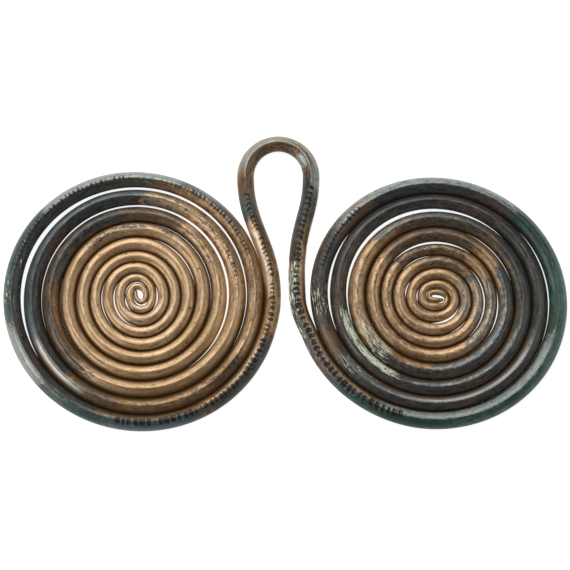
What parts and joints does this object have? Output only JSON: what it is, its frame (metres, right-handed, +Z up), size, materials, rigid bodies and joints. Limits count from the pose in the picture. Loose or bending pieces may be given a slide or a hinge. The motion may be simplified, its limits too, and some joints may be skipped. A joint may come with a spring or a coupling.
{
  "type": "spectacle spiral",
  "caption": "Bronze rod coiled into two flat spiral discs side by side, joined by an upright loop, with a nicked ridge along its outer turns.",
  "frame": {"origin": "middle of the outline, on the surface that the flat underside lies on", "axes": "+X across both discs towards the one on the right, +Y from the discs towards the loop, +Z up out of the flat underside"},
  "size_m": [0.2506, 0.1312, 0.0069],
  "materials": {
    "bronze": "aged bronze, golden brown inside, with dark green and grey-black patina on the outer turns"
  },
  "bodies": {
    "root": {"spiral_rod": "bronze"}
  },
  "joints": []
}
